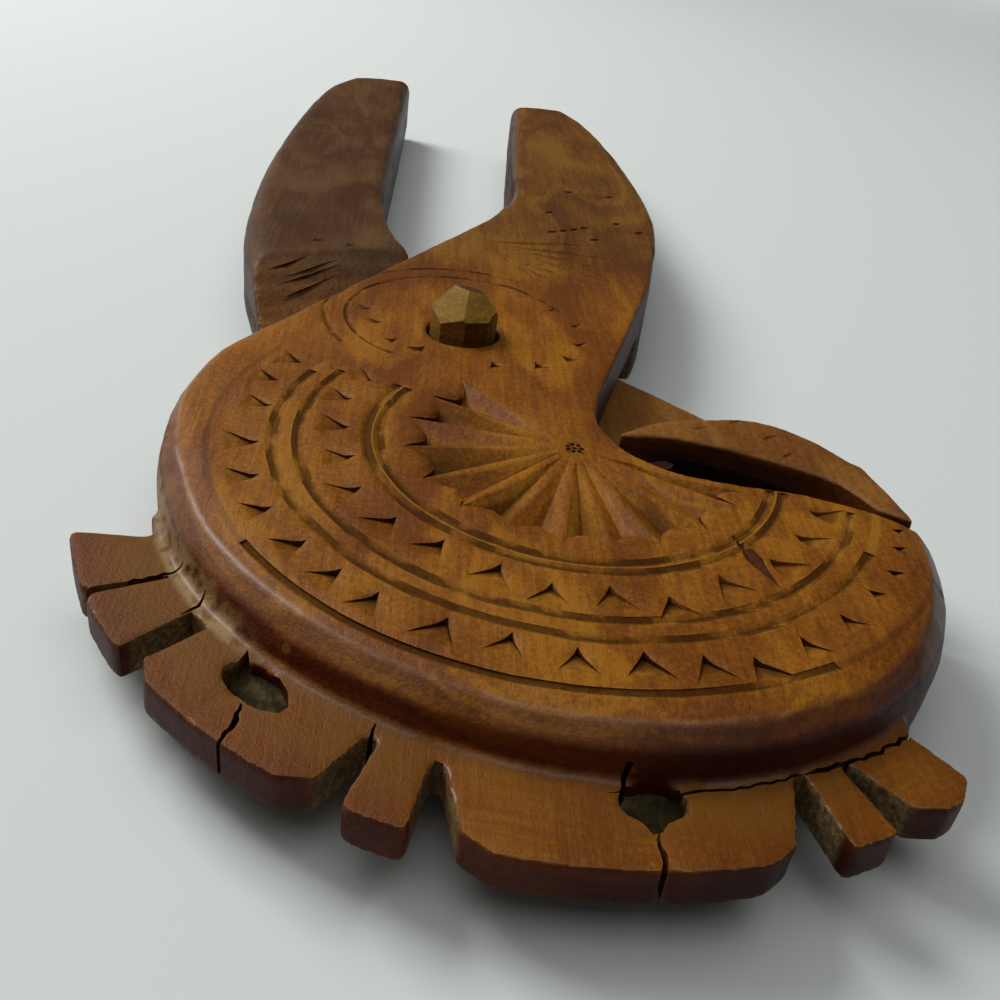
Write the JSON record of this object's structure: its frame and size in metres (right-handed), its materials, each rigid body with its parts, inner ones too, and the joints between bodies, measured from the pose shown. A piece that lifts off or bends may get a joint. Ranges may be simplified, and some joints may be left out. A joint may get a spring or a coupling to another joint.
{
  "type": "lever nutcracker press",
  "caption": "Carved wooden plier nutcracker: a crested bird's-head lever and a lower-beak lever cross in a half lap on a whittled peg.",
  "frame": {"origin": "on the pivot axis at the underside of the levers, the centre of the peg's flush lower end", "axes": "+Y from the head towards the handles' tips along the middle between them, +X to the right seen from above with the head towards the viewer, +Z along the pivot axis, up through the carved face"},
  "size_m": [0.0932, 0.2424, 0.0212],
  "materials": {
    "head_wood": "orange-brown varnished hardwood, chip-carved, with paler ochre cuts and red-brown rolled edges",
    "jaw_wood": "redder brown varnished hardwood with a smoother tan web",
    "peg_wood": "yellow-brown whittled peg, knife facets left as cut"
  },
  "bodies": {
    "head": {"head_lever": "head_wood", "pivot_peg": "peg_wood"},
    "jaw": {"jaw_lever": "jaw_wood"}
  },
  "joints": [
    {"name": "lever_pivot", "type": "hinge", "parent": "head", "child": "jaw", "pos_m": [0, 0, 0.0075], "axis": [0, 0, 1], "range_deg": [0, 35]}
  ]
}
